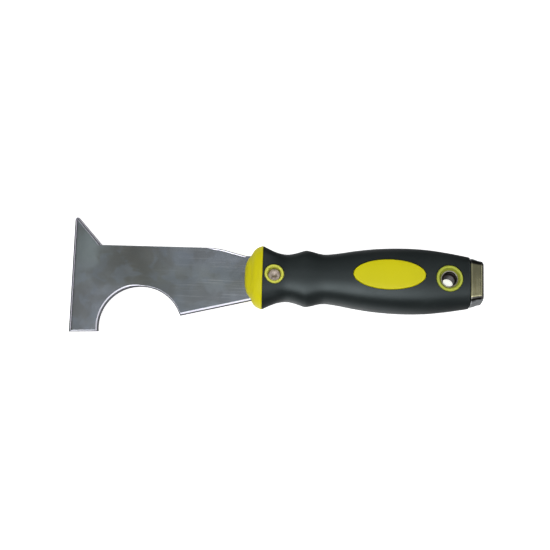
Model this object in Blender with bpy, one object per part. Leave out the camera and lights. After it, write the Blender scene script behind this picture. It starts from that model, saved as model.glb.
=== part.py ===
"""A multi-use putty knife: a ground blade with a full tang, a two-colour riveted handle and a striking cap.

It lies flat. +X runs along the tool from the scraping edge to the striking cap, +Y across it towards the
spike, and +Z up through its thickness. The origin is on the surface it lies on, under the middle of its
bounding box.
Lengths below are in millimetres about the tool's own axis, which the empty tool_axis places in the frame.
"""

import math
from bisect import bisect

import bmesh
import bpy

MM = 0.001
GAP = 0.3  # left between pieces that touch on the real tool

# Driving dimensions
FRONT_X, REAR_X = -108.0, 107.0
AXIS_X = -(FRONT_X + REAR_X) / 2
EDGE_TOP, EDGE_BOTTOM = 30.1, -31.5  # ends of the scraping edge, from the tool's axis
AXIS_Y = -(EDGE_TOP + EDGE_BOTTOM) / 2
BELLY_HALF_THICK = 11.6
PAD_RISE = 0.1  # the oval pads stand this far above the grip
AXIS_Z = BELLY_HALF_THICK + PAD_RISE  # the tool lies on its lower pad and the rim of its bolster

# Blade
BLADE_THICK = 1.2
SPINE_Y = 15.4  # the straight upper edge
SPIKE_POINT_Y, SPIKE_FOOT_X = 32.5, -93.0  # the spike's back edge, before its point is blunted
NECK_X, NECK_TOP, NECK_BOTTOM = -6.3, 11.4, -10.8  # where the neck narrows to the tang, inside the bolster
TANG_HALF = 8.5
TANG_END_X = 100.0
LOBE_HEEL = (-92.4, -30.95)  # lower rear corner of the front lobe
NOTCH_CENTRE, NOTCH_R = (-71.1, -28.1), 21.5  # the half-round roller notch
NOTCH_HEEL = (-50.4, -21.5)  # where the notch ends and the lower edge starts
SHOULDER_X = (-38.0, -29.5, -17.0)  # the upper shoulder: start, end of its arc, end of its slope
SHOULDER_MID_Y = 14.65
GRIND = 1.9  # width of a ground bevel
GRIND_DEPTH = 0.85
EDGE_GRIND = 2.2  # the scraping edge's bevel
ARRIS = 0.12  # the corner left on edges that aren't ground
RUN_OUT = 2.2  # how far a ground bevel takes to fade along the next edge
NOTCH_STEPS = 26

# Handle: half widths and half thicknesses along the axis
JOINT_X = -8.1  # the yellow bolster ends and the black grip starts
GRIP_END_X = 100.0
HALF_WIDTHS = [(-8.1, 16.6), (-3.0, 14.1), (4.4, 12.35), (10.2, 13.6), (14.6, 14.75), (18.8, 13.9),
               (24.5, 12.85), (31.5, 13.65), (40.0, 15.15), (50.0, 16.45), (63.0, 17.2), (76.0, 16.9),
               (88.0, 15.5), (100.0, 13.45)]
HALF_THICKS = [(-8.1, AXIS_Z), (-3.0, 10.3), (4.4, 9.3), (14.6, 9.8), (24.5, 9.9), (40.0, 10.9), (50.0, 11.4),
               (63.0, BELLY_HALF_THICK), (76.0, 11.4), (88.0, 10.7), (100.0, 9.5)]
SECTION_POWER = 2.6  # superellipse exponent of the handle's cross-section
SECTION_POINTS = 24
STATION_STEP = 3.6
GRIP_WALL = 2.6

# The bolster's dome, a blunt nose on sloping flanks: reach ahead of the joint, share of the section there
DOME = [(9.4, 0.1), (9.3, 0.22), (9.0, 0.36), (8.3, 0.5), (7.2, 0.61), (6.0, 0.7), (5.2, 0.79), (4.3, 0.87),
        (2.9, 0.935), (1.3, 0.98), (0.0, 1.0)]

# Windows in the grip that the yellow core shows through
PAD_CENTRE_X, PAD_CENTRE_Y = 57.8, 1.1
PAD_A, PAD_B = 18.7, 8.05
RIVET_X, RIVET_BOSS_R = -2.0, 5.0
HANG_X, HANG_BOSS_R = 88.9, 6.9
LIP_RISE = 0.3  # the ring bosses stand this far above the grip

# Fasteners: a two-part compression rivet and a two-part ferrule that lines the hang hole
RIVET_SEAT, RIVET_HEAD_R, RIVET_HOLE_R = 6.4, 3.25, 2.6
HANG_SEAT, HANG_FLANGE_R, HANG_HOLE_R = 8.2, 4.65, 4.4
HANG_BORE_R, HANG_INNER_BORE_R, HANG_MOUTH_R = 3.6, 2.95, 4.1

# Striking cap
CAP_X = GRIP_END_X + GAP
LUG_HALF_WIDTH, LUG_THICK = 7.0, 1.5
LUG_INNER = BLADE_THICK / 2 + GAP

FAR = 30.0  # past every face of the handle, for cutters


def clear_scene():
    for obj in list(bpy.data.objects):
        bpy.data.objects.remove(obj, do_unlink=True)


def principled(name, colour, roughness, metallic):
    """A plain Principled BSDF material."""
    material = bpy.data.materials.new(name)
    material.use_nodes = True
    shader = material.node_tree.nodes["Principled BSDF"]
    shader.inputs["Base Color"].default_value = (*colour, 1.0)
    shader.inputs["Roughness"].default_value = roughness
    shader.inputs["Metallic"].default_value = metallic
    return material


def add_object(name, bm, axis, material=None, x=0.0):
    """Links a bmesh, built about the tool's axis in millimetres, as an object x along that axis."""
    bmesh.ops.recalc_face_normals(bm, faces=bm.faces)
    bmesh.ops.scale(bm, vec=(MM, MM, MM), verts=bm.verts)
    mesh = bpy.data.meshes.new(name)
    bm.to_mesh(mesh)
    bm.free()
    obj = bpy.data.objects.new(name, mesh)
    bpy.context.scene.collection.objects.link(obj)
    obj.parent = axis
    obj.location.x = x * MM
    if material:
        mesh.materials.append(material)
        mesh.shade_smooth()
        mesh.set_sharp_from_angle(angle=math.radians(35))
    return obj


def as_helper(obj):
    """Marks an object that only shapes others."""
    obj.hide_render = True
    obj.display_type = "WIRE"
    return obj


def boolean(obj, operation, other):
    modifier = obj.modifiers.new(f"{operation.lower()}_{other.name}", "BOOLEAN")
    modifier.operation = operation
    modifier.object = other
    modifier.solver = "EXACT"


def skin(bm, rings, close_ends=True):
    """Joins rings of equally many points into a tube, with flat ends if asked. A one-point ring is a tip."""
    loops = [[bm.verts.new(point) for point in ring] for ring in rings]
    for a, b in zip(loops, loops[1:]):
        count = max(len(a), len(b))
        for k in range(count):
            j = (k + 1) % count
            corners = [a[k % len(a)], a[j % len(a)], b[j % len(b)], b[k % len(b)]]
            bm.faces.new(dict.fromkeys(corners))
    if close_ends:
        bm.faces.new(reversed(loops[0]))
        bm.faces.new(loops[-1])
    return loops


def curve_through(knots, x):
    """Height at x of a smooth curve through knots, a list of (x, height)."""
    x = min(max(x, knots[0][0]), knots[-1][0])
    i = min(bisect([k[0] for k in knots], x) - 1, len(knots) - 2)

    def slope(j):
        before, after = knots[max(j - 1, 0)], knots[min(j + 1, len(knots) - 1)]
        return (after[1] - before[1]) / (after[0] - before[0])

    (x0, y0), (x1, y1) = knots[i], knots[i + 1]
    span = x1 - x0
    u = (x - x0) / span
    start = (2 * u**3 - 3 * u**2 + 1) * y0 + (u**3 - 2 * u**2 + u) * span * slope(i)
    end = (3 * u**2 - 2 * u**3) * y1 + (u**3 - u**2) * span * slope(i + 1)
    return start + end


def oval_ring(x, half_width, half_thick):
    """A superellipse across the axis at x."""
    ring = []
    for k in range(SECTION_POINTS):
        angle = math.tau * k / SECTION_POINTS
        across, up = math.cos(angle), math.sin(angle)
        y = math.copysign(abs(across) ** (2 / SECTION_POWER), across) * half_width
        z = math.copysign(abs(up) ** (2 / SECTION_POWER), up) * half_thick
        ring.append((x, y, z))
    return ring


def rounded_rectangle_ring(x, half_width, half_thick, radius, corner_steps=5):
    ring = []
    for quarter in range(4):
        across = 1 if quarter in (0, 3) else -1
        up = 1 if quarter < 2 else -1
        for k in range(corner_steps + 1):
            angle = math.tau / 4 * (quarter + k / corner_steps)
            y = across * (half_width - radius) + radius * math.cos(angle)
            z = up * (half_thick - radius) + radius * math.sin(angle)
            ring.append((x, y, z))
    return ring


def handle_loft(name, axis, start_x, end_x, grow, material=None):
    """The handle's envelope between two places, grown or shrunk all round."""
    count = round((end_x - start_x) / STATION_STEP)
    stations = [start_x + (end_x - start_x) * k / count for k in range(count + 1)]
    bm = bmesh.new()
    skin(bm, [oval_ring(x, curve_through(HALF_WIDTHS, x) + grow, curve_through(HALF_THICKS, x) + grow)
              for x in stations])
    return add_object(name, bm, axis, material)


def dome(name, axis):
    """The bolster's dome, from its flat nose to the joint with the grip."""
    bm = bmesh.new()
    skin(bm, [oval_ring(JOINT_X - reach, HALF_WIDTHS[0][1] * share, HALF_THICKS[0][1] * share)
              for reach, share in DOME])
    return as_helper(add_object(name, bm, axis))


def prism(name, axis, outline, low, high, material=None):
    """A plan outline extruded from one height to another."""
    bm = bmesh.new()
    skin(bm, [[(x, y, z) for x, y in outline] for z in (low, high)])
    return add_object(name, bm, axis, material)


def oval_outline(a, b, count=40):
    turns = [math.tau * k / count for k in range(count)]
    return [(PAD_CENTRE_X + a * math.cos(t), PAD_CENTRE_Y + b * math.sin(t)) for t in turns]


def circle_outline(centre_x, radius, count=28):
    turns = [math.tau * k / count for k in range(count)]
    return [(centre_x + radius * math.cos(t), radius * math.sin(t)) for t in turns]


def lathe(name, axis, profile, x, material=None, count=28, bored=False):
    """Turns a profile of (radius, height) about the line at x that runs up through the tool.

    A bored profile is a closed loop clear of the line. Any other starts and ends on it.
    """
    bm = bmesh.new()
    turns = [math.tau * k / count for k in range(count)]
    rings = [[(r * math.cos(t), r * math.sin(t), z) for t in turns] if r else [(0, 0, z)] for r, z in profile]
    loops = skin(bm, rings, close_ends=False)
    if bored:
        first, last = loops[0], loops[-1]
        for k in range(count):
            j = (k + 1) % count
            bm.faces.new((last[k], last[j], first[j], first[k]))
    return add_object(name, bm, axis, material, x)


def tang_outline(grow=0.0):
    """The neck and the full tang, from inside the blade to the tang's end, anticlockwise."""
    start = -26.0
    lower_slope = (NECK_BOTTOM - NOTCH_HEEL[1]) / (NECK_X - NOTCH_HEEL[0])
    start_y = NOTCH_HEEL[1] + lower_slope * (start - NOTCH_HEEL[0])
    half = TANG_HALF + grow
    tang_x = NECK_X + 4.3
    return [(start, start_y - grow), (NECK_X, NECK_BOTTOM - grow),
            (tang_x, -half), (TANG_END_X + grow, -half),
            (TANG_END_X + grow, half), (tang_x, half), (NECK_X, NECK_TOP + grow), (start, NECK_TOP + grow)]


def blade_outline():
    """The blade's plan, anticlockwise, as (x, y, width of the bevel on the edge that starts there)."""
    cx, cy = NOTCH_CENTRE
    start = math.atan2(LOBE_HEEL[1] - cy, LOBE_HEEL[0] - cx) % math.tau
    end = math.atan2(NOTCH_HEEL[1] - cy, NOTCH_HEEL[0] - cx)
    points = [(FRONT_X, EDGE_BOTTOM, ARRIS), (LOBE_HEEL[0] - RUN_OUT, LOBE_HEEL[1] - 0.1, ARRIS)]
    for k in range(NOTCH_STEPS):
        angle = start + (end - start) * k / NOTCH_STEPS
        points.append((cx + NOTCH_R * math.cos(angle), cy + NOTCH_R * math.sin(angle), GRIND))
    points += [(*NOTCH_HEEL, GRIND)]
    points += [(x, y, ARRIS) for x, y in tang_outline()[1:-1]]
    points += [(SHOULDER_X[2] + RUN_OUT, NECK_TOP, ARRIS), (SHOULDER_X[2], NECK_TOP, GRIND)]
    arc_start, arc_end = SHOULDER_X[1], SHOULDER_X[0]
    for k in range(5):
        u = k / 4
        x = arc_start + (arc_end - arc_start) * u
        y = SPINE_Y - (SPINE_Y - SHOULDER_MID_Y) * (1 - u) ** 2
        points.append((x, y, GRIND * (1 - u) + ARRIS * u))
    points += [(SPIKE_FOOT_X + RUN_OUT, SPINE_Y, ARRIS), (SPIKE_FOOT_X, SPINE_Y, GRIND)]
    points += [(FRONT_X, SPIKE_POINT_Y, EDGE_GRIND)]
    return points


def inset_corner(before, here, after, width_before, width_after):
    """Where the two edges that meet at here cross once each is moved inwards by its own width."""
    normals = []
    for (x0, y0), (x1, y1) in ((before, here), (here, after)):
        length = math.hypot(x1 - x0, y1 - y0)
        normals.append(((y0 - y1) / length, (x1 - x0) / length))
    (ax, ay), (bx, by) = normals
    cross = ax * by - ay * bx
    if abs(cross) < 0.3:  # nearly in line: move straight in by the mean width
        width = (width_before + width_after) / (1 + ax * bx + ay * by)
        return here[0] + width * (ax + bx) / 2, here[1] + width * (ay + by) / 2
    dx = (width_before * by - width_after * ay) / cross
    dy = (width_after * ax - width_before * bx) / cross
    return here[0] + dx, here[1] + dy


def make_blade(axis, steel, cutters):
    """Steel plate with its edges ground on the upper side, a blunted spike, and the tang's two holes."""
    outline = blade_outline()
    count = len(outline)
    plan = [(x, y) for x, y, _ in outline]
    widths = [width for _, _, width in outline]
    half = BLADE_THICK / 2
    under, low, land, top = [], [], [], []
    for k in range(count):
        before, here, after = plan[k - 1], plan[k], plan[(k + 1) % count]
        widest = max(widths[k - 1], widths[k])
        depth = GRIND_DEPTH if widest > GRIND / 2 else widest
        under.append((*inset_corner(before, here, after, ARRIS, ARRIS), -half))
        low.append((*here, -half + ARRIS))
        land.append((*here, half - depth))
        top.append((*inset_corner(before, here, after, widths[k - 1], widths[k]), half))
    bm = bmesh.new()
    skin(bm, [under, low, land, top])
    blade = add_object("blade", bm, axis, steel)
    past_x, past_y = FRONT_X - 5.0, SPIKE_POINT_Y + 5.0
    past_tip = [(past_x, EDGE_TOP - 5.0), (FRONT_X, EDGE_TOP - 0.9), (FRONT_X + 0.9, EDGE_TOP),
                (FRONT_X + 9.0, EDGE_TOP), (FRONT_X + 9.0, past_y), (past_x, past_y)]
    for cutter in (as_helper(prism("spike_blunting", axis, past_tip, -FAR, FAR)), *cutters):
        boolean(blade, "DIFFERENCE", cutter)


def make_core(axis, yellow, holes):
    """The hard yellow core that carries the tang, moulded as an upper and a lower shell."""
    nose = dome("bolster_dome", axis)
    pads = as_helper(prism("pad_block", axis, oval_outline(PAD_A, PAD_B), -FAR, FAR))
    boolean(pads, "INTERSECT", as_helper(handle_loft("pad_envelope", axis, 30.0, 86.0, PAD_RISE)))
    lips = as_helper(handle_loft("lip_envelope", axis, JOINT_X, GRIP_END_X, LIP_RISE))
    bosses = []
    for name, x, radius in (("rivet_boss", RIVET_X, RIVET_BOSS_R), ("hang_boss", HANG_X, HANG_BOSS_R)):
        boss = as_helper(prism(name, axis, circle_outline(x, radius), -FAR, FAR))
        boolean(boss, "INTERSECT", lips)
        bosses.append(boss)
    slot_half = BLADE_THICK / 2 + GAP
    slot = as_helper(prism("tang_slot", axis, tang_outline(GAP), -slot_half, slot_half))
    pocket_half = LUG_HALF_WIDTH + GAP
    pocket_top = LUG_INNER + LUG_THICK + GAP
    pocket_start = HANG_X - pocket_half
    pocket_plan = [(pocket_start, -pocket_half), (FAR + GRIP_END_X, -pocket_half),
                   (FAR + GRIP_END_X, pocket_half), (pocket_start, pocket_half)]
    pocket = as_helper(prism("lug_pocket", axis, pocket_plan, -pocket_top, pocket_top))
    other_half_plan = [(-FAR, -FAR), (FAR + GRIP_END_X, -FAR), (FAR + GRIP_END_X, FAR), (-FAR, FAR)]
    for name, low, high in (("core_shell_upper", -FAR, GAP / 2), ("core_shell_lower", -GAP / 2, FAR)):
        shell = handle_loft(name, axis, JOINT_X - 3.0, GRIP_END_X, -GRIP_WALL, yellow)
        for part in (nose, pads, *bosses):
            boolean(shell, "UNION", part)
        for cutter in (slot, pocket, *holes):
            boolean(shell, "DIFFERENCE", cutter)
        other_half = as_helper(prism(f"cut_of_{name}", axis, other_half_plan, low, high))
        boolean(shell, "DIFFERENCE", other_half)


def make_grip(axis, rubber):
    """The soft black sleeve moulded over the core, with windows for its pads and ring bosses."""
    grip = handle_loft("grip_sleeve", axis, JOINT_X + GAP, GRIP_END_X, 0.0, rubber)
    boolean(grip, "DIFFERENCE", as_helper(
        handle_loft("grip_cavity", axis, JOINT_X - 6.0, GRIP_END_X + 6.0, GAP - GRIP_WALL)))
    windows = (("pad_window", oval_outline(PAD_A + GAP, PAD_B + GAP)),
               ("rivet_window", circle_outline(RIVET_X, RIVET_BOSS_R + GAP)),
               ("hang_window", circle_outline(HANG_X, HANG_BOSS_R + GAP)))
    for name, outline in windows:
        boolean(grip, "DIFFERENCE", as_helper(prism(name, axis, outline, -FAR, FAR)))


def make_cap(axis, chrome, lug_hole):
    """The striking cap: a tapered block and two lugs that straddle the tang and are pinned by the ferrule."""
    bm = bmesh.new()
    stations = ((CAP_X, 12.5, 7.4, 4.2), (102.6, 11.8, 7.4, 3.8), (104.7, 10.9, 7.4, 3.2),
                (105.6, 10.5, 7.25, 2.6), (106.4, 10.1, 6.9, 2.2), (REAR_X, 9.5, 6.2, 1.8))
    skin(bm, [rounded_rectangle_ring(*station) for station in stations])
    cap = add_object("striking_cap", bm, axis, chrome)
    nose = [math.radians(90 + 180 * k / 12) for k in range(13)]
    plan = [(HANG_X + LUG_HALF_WIDTH * math.cos(t), LUG_HALF_WIDTH * math.sin(t)) for t in nose]
    plan += [(CAP_X + 2.0, -LUG_HALF_WIDTH), (CAP_X + 2.0, LUG_HALF_WIDTH)]
    for name, side in (("upper_lug", 1), ("lower_lug", -1)):
        low, high = sorted((side * LUG_INNER, side * (LUG_INNER + LUG_THICK)))
        boolean(cap, "UNION", as_helper(prism(name, axis, plan, low, high)))
    boolean(cap, "DIFFERENCE", lug_hole)


def make_rivet(axis, nickel):
    """A two-part compression rivet: a socket pressed in from above onto a post pressed in from below."""
    seat, head, top = RIVET_SEAT, RIVET_HEAD_R, RIVET_SEAT + 1.0
    socket = [(0, top - 0.5), (0.9, top - 0.35), (1.5, top), (2.4, top), (head - 0.2, top - 0.3),
              (head, seat), (2.3, seat), (2.3, -3.0), (1.7, -3.0), (1.7, 5.3), (0, 5.3)]
    post = [(0, 4.9), (1.4, 4.9), (1.4, -seat), (head, -seat), (head - 0.2, -top + 0.3), (2.0, -top),
            (0, -top - 0.1)]
    lathe("rivet_socket", axis, socket, RIVET_X, nickel)
    lathe("rivet_post", axis, post, RIVET_X, nickel)


def make_ferrules(axis, nickel):
    """The hang hole's lining: a flared upper ferrule, and a narrower lower one pressed up inside it."""
    seat, flange, top, mouth = HANG_SEAT, HANG_FLANGE_R, HANG_SEAT + 0.5, HANG_MOUTH_R
    bore, inner = HANG_BORE_R, HANG_INNER_BORE_R
    upper = [(bore + 0.4, seat), (bore + 0.4, -2.0), (bore, -2.0), (bore, top - 1.7),
             (bore + 0.15, top - 0.6), (mouth, top), (flange - 0.2, top), (flange, seat)]
    lower = [(bore - GAP, 4.0), (bore - GAP, -2.6), (bore + 0.5, -3.3), (bore + 0.5, -seat), (flange, -seat),
             (flange - 0.2, -top), (mouth, -top), (bore, -top + 1.1), (inner, -4.3), (inner, 4.0)]
    lathe("hang_ferrule_upper", axis, upper, HANG_X, nickel, bored=True)
    lathe("hang_ferrule_lower", axis, lower, HANG_X, nickel, bored=True)


def hole_cutter(name, axis, x, hole_r, seat_z, seat_r, mouth_r):
    """A round hole right through the core, with a slightly tapered recess at both mouths."""
    profile = [(0, -FAR), (mouth_r, -FAR), (mouth_r, -seat_z - 3.0), (seat_r, -seat_z + GAP),
               (hole_r, -seat_z + GAP), (hole_r, seat_z - GAP), (seat_r, seat_z - GAP),
               (mouth_r, seat_z + 3.0), (mouth_r, FAR), (0, FAR)]
    return as_helper(lathe(name, axis, profile, x))


def main():
    clear_scene()
    steel = principled("polished_steel", (0.42, 0.44, 0.46), 0.28, 1.0)
    yellow = principled("yellow_plastic", (0.62, 0.55, 0.02), 0.42, 0.0)
    rubber = principled("black_rubber", (0.022, 0.026, 0.028), 0.5, 0.0)
    chrome = principled("chromed_steel", (0.6, 0.6, 0.58), 0.15, 1.0)
    nickel = principled("nickel_plate", (0.55, 0.53, 0.5), 0.3, 1.0)
    axis = bpy.data.objects.new("tool_axis", None)
    axis.location = (AXIS_X * MM, AXIS_Y * MM, AXIS_Z * MM)
    bpy.context.scene.collection.objects.link(axis)
    rivet_plain = as_helper(prism("rivet_plain_hole", axis, circle_outline(RIVET_X, RIVET_HOLE_R), -FAR, FAR))
    hang_plain = as_helper(prism("hang_plain_hole", axis, circle_outline(HANG_X, HANG_HOLE_R), -FAR, FAR))
    rivet_hole = hole_cutter("rivet_hole", axis, RIVET_X, RIVET_HOLE_R, RIVET_SEAT, RIVET_HEAD_R + GAP, 3.75)
    hang_hole = hole_cutter("hang_hole", axis, HANG_X, HANG_HOLE_R, HANG_SEAT, HANG_FLANGE_R + GAP, 5.5)
    make_blade(axis, steel, (rivet_plain, hang_plain))
    make_core(axis, yellow, (rivet_hole, hang_hole))
    make_grip(axis, rubber)
    make_cap(axis, chrome, hang_plain)
    make_rivet(axis, nickel)
    make_ferrules(axis, nickel)


main()
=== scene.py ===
"""Looks of the multi-use putty knife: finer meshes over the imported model, materials, studio and camera.

Lengths are in millimetres about the tool's own axis, as in the CAD source, and make_object turns them into
the frame's metres. The axis runs along +X through the middle of the grip.
"""

import math
from bisect import bisect

import bmesh
import bpy
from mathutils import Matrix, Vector
from mathutils.geometry import delaunay_2d_cdt


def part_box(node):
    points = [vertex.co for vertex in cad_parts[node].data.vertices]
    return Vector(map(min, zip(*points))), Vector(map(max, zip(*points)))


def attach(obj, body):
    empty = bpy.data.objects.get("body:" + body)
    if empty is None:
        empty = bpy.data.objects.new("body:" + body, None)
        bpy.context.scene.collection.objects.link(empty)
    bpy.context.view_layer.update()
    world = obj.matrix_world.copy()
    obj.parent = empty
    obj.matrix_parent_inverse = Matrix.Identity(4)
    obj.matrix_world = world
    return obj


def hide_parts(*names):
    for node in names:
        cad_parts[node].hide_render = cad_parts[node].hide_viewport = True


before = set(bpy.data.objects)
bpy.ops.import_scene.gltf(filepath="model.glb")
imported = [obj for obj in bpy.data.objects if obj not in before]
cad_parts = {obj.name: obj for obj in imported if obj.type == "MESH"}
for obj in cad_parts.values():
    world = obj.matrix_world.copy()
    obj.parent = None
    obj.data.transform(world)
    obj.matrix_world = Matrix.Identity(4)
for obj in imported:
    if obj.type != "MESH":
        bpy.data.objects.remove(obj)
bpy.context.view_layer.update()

MM = 0.001


def node_box(node):
    """A CAD node's box in millimetres."""
    low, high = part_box(node)
    return Vector(low) / MM, Vector(high) / MM


grip_low, grip_high = node_box("grip_sleeve")
blade_low, blade_high = node_box("blade")
_, cap_high = node_box("striking_cap")
GAP = 0.3
FRONT_X = -108.0
AXIS_X = blade_low.x - FRONT_X
AXIS_Y = (grip_low.y + grip_high.y) / 2
AXIS_Z = (blade_low.z + blade_high.z) / 2
AXIS = Vector((AXIS_X, AXIS_Y, AXIS_Z))
REAR_X = cap_high.x - AXIS_X
EDGE_TOP, EDGE_BOTTOM = blade_high.y - AXIS_Y, blade_low.y - AXIS_Y
BLADE_THICK = blade_high.z - blade_low.z
TANG_END_X = blade_high.x - AXIS_X
JOINT_X = grip_low.x - AXIS_X - GAP
GRIP_END_X = grip_high.x - AXIS_X
CAP_X = GRIP_END_X + GAP

# Blade
SPINE_Y = 15.4
SPIKE_POINT_Y, SPIKE_FOOT_X = 32.5, -93.0
NECK_X, NECK_TOP, NECK_BOTTOM = -6.3, 11.4, -10.8
TANG_HALF = 8.5
LOBE_HEEL = (-92.4, -30.95)
NOTCH_CENTRE, NOTCH_R = (-71.1, -28.1), 21.5
NOTCH_HEEL = (-50.4, -21.5)
SHOULDER_X = (-38.0, -29.5, -17.0)
SHOULDER_MID_Y = 14.65
ARRIS = 0.12

# How each edge of the blade is worked, as bands from the outside in: width, rise and material
# BRIGHT bands are painted pale as a painted highlight, DARK bands near black as a painted dark reflection.
FACE, BRIGHT, DARK = 0, 1, 2
PLAIN_EDGE = ((0.05, 0.05, DARK), (0.03, 0.03, DARK), (0.02, 0.02, FACE), (0.02, 0.02, FACE))
SPINE_EDGE = ((0.16, 0.24, DARK), (0.10, 0.08, DARK), (0.05, 0.02, FACE), (0.05, 0.01, FACE))
SCRAPING_EDGE = ((0.62, 0.36, DARK), (0.30, 0.05, BRIGHT), (0.55, 0.18, DARK), (0.10, 0.02, FACE))
SPIKE_EDGE = ((0.40, 0.36, DARK), (0.32, 0.11, BRIGHT), (0.72, 0.26, DARK), (0.20, 0.07, BRIGHT))
LOBE_EDGE = ((0.22, 0.30, DARK), (0.10, 0.05, DARK), (0.26, 0.08, BRIGHT), (0.05, 0.01, FACE))
NOTCH_EDGE = ((0.80, 0.48, DARK), (0.15, 0.05, DARK), (0.64, 0.19, BRIGHT), (0.10, 0.02, FACE))
NOTCH_BACK_EDGE = ((0.32, 0.35, DARK), (0.10, 0.05, DARK), (0.12, 0.02, BRIGHT), (0.06, 0.01, FACE))
HEEL_EDGE = ((0.42, 0.36, DARK), (0.10, 0.05, DARK), (0.80, 0.22, BRIGHT), (0.05, 0.01, FACE))
SHOULDER_EDGE = ((0.40, 0.34, DARK), (0.55, -0.15, BRIGHT), (0.22, 0.16, DARK), (0.10, 0.03, FACE))

# Handle: half widths and half thicknesses along the axis
HALF_WIDTHS = [(-8.1, 16.6), (-5.8, 15.4), (-3.0, 14.1), (0.0, 13.0), (4.4, 12.35), (8.5, 13.0), (11.6, 14.0),
               (13.8, 14.75), (15.2, 14.75), (17.8, 14.2), (21.0, 13.3), (24.5, 12.85), (31.5, 13.65),
               (40.0, 15.15), (50.0, 16.45), (63.0, 17.2), (76.0, 16.9), (88.0, 15.5), (100.0, 13.45)]
HALF_THICKS = [(-8.1, 11.7), (-3.0, 10.3), (4.4, 9.3), (14.6, 9.8), (24.5, 9.9), (40.0, 10.9), (50.0, 11.4),
               (63.0, 11.6), (76.0, 11.4), (88.0, 10.7), (100.0, 9.5)]
SECTION_POWER = 2.6
GRIP_WALL = 2.6
# The bolster's dome: share of the section at the joint, reach ahead of it
DOME = [(0.0, 9.4), (0.22, 9.3), (0.36, 9.0), (0.5, 8.3), (0.61, 7.2), (0.7, 6.0), (0.79, 5.2), (0.87, 4.3),
        (0.935, 2.9), (0.98, 1.3), (1.0, 0.0)]
PAD_X, PAD_Y, PAD_A, PAD_B, PAD_RISE = 57.8, 1.1, 18.7, 8.05, 0.1
RIVET_X, RIVET_BOSS_R, RIVET_LIP = -2.0, 5.0, 1.4
HANG_X, HANG_BOSS_R, HANG_LIP = 88.9, 6.9, 1.5
LIP_RISE = 0.3
RIVET_SEAT, RIVET_HEAD_R, RIVET_HOLE_R = 6.4, 3.25, 2.6
HANG_SEAT, HANG_FLANGE_R, HANG_HOLE_R = 8.2, 4.65, 4.4
HANG_BORE_R, HANG_INNER_BORE_R, HANG_MOUTH_R = 3.6, 2.95, 4.1
LUG_HALF_WIDTH, LUG_THICK = 7.0, 1.5
LUG_INNER = BLADE_THICK / 2 + GAP
FAR = 30.0


# ---------------------------------------------------------------- mesh helpers

def make_object(name, bm):
    """Links a bmesh, in millimetres about the tool's axis, as an object in the frame's metres."""
    bmesh.ops.recalc_face_normals(bm, faces=bm.faces)
    for vert in bm.verts:
        vert.co = (vert.co + AXIS) * MM
    mesh = bpy.data.meshes.new(name)
    bm.to_mesh(mesh)
    bm.free()
    obj = bpy.data.objects.new(name, mesh)
    bpy.context.scene.collection.objects.link(obj)
    return obj


def finish_piece(obj, slot_name, nodes, *materials, smooth_angle=32):
    """Bakes the modifiers in, shades the piece, and ties it to the frame."""
    graph = bpy.context.evaluated_depsgraph_get()
    mesh = bpy.data.meshes.new_from_object(obj.evaluated_get(graph))
    obj.modifiers.clear()
    obj.data = mesh
    # Clearing the slots resets which one each face uses, so that is kept and put back
    finishes = [min(face.material_index, len(materials) - 1) for face in mesh.polygons]
    mesh.materials.clear()
    for material in materials:
        mesh.materials.append(material)
    for face, finish in zip(mesh.polygons, finishes):
        face.material_index = finish
    mesh.shade_smooth()
    mesh.set_sharp_from_angle(angle=math.radians(smooth_angle))
    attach(obj, "root")
    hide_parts(*nodes)


cutters = []


def helper(obj):
    """Keeps an object that only booleans use, to be removed once they are baked in."""
    cutters.append(obj)
    obj.hide_render = True
    return obj


def boolean(obj, operation, other):
    modifier = obj.modifiers.new("boolean", "BOOLEAN")
    modifier.operation = operation
    modifier.object = other
    modifier.solver = "EXACT"


def skin(bm, rings, close_ends=True):
    """Joins rings of equally many points into a tube, with flat ends if asked. A one-point ring is a tip."""
    loops = [[bm.verts.new(point) for point in ring] for ring in rings]
    for a, b in zip(loops, loops[1:]):
        count = max(len(a), len(b))
        for k in range(count):
            j = (k + 1) % count
            corners = [a[k % len(a)], a[j % len(a)], b[j % len(b)], b[k % len(b)]]
            bm.faces.new(dict.fromkeys(corners))
    if close_ends:
        bm.faces.new(reversed(loops[0]))
        bm.faces.new(loops[-1])
    return loops


def join_ends(bm, loops):
    """Joins a tube's last loop back to its first, so that it closes on itself."""
    first, last = loops[0], loops[-1]
    count = len(first)
    for k in range(count):
        j = (k + 1) % count
        bm.faces.new((last[k], last[j], first[j], first[k]))


def curve_through(knots, x):
    """Height at x of a smooth curve through knots, a list of (x, height)."""
    x = min(max(x, knots[0][0]), knots[-1][0])
    i = min(bisect([k[0] for k in knots], x) - 1, len(knots) - 2)

    def slope(j):
        before, after = knots[max(j - 1, 0)], knots[min(j + 1, len(knots) - 1)]
        return (after[1] - before[1]) / (after[0] - before[0])

    (x0, y0), (x1, y1) = knots[i], knots[i + 1]
    span = x1 - x0
    u = (x - x0) / span
    start = (2 * u**3 - 3 * u**2 + 1) * y0 + (u**3 - 2 * u**2 + u) * span * slope(i)
    end = (3 * u**2 - 2 * u**3) * y1 + (u**3 - u**2) * span * slope(i + 1)
    return start + end


def section_ring(x, half_width, half_thick, count):
    """A superellipse across the axis at x, its points spread evenly in direction."""
    ring = []
    for k in range(count):
        angle = math.tau * (k + 0.5) / count
        across, up = math.cos(angle), math.sin(angle)
        reach = (abs(across / half_width) ** SECTION_POWER + abs(up / half_thick) ** SECTION_POWER)
        reach = reach ** (-1 / SECTION_POWER)
        ring.append((x, reach * across, reach * up))
    return ring


def grip_ring(x, grow, count):
    """The grip's section at x, with its surface moved outwards by grow."""
    return section_ring(x, curve_through(HALF_WIDTHS, x) + grow, curve_through(HALF_THICKS, x) + grow, count)


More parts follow.
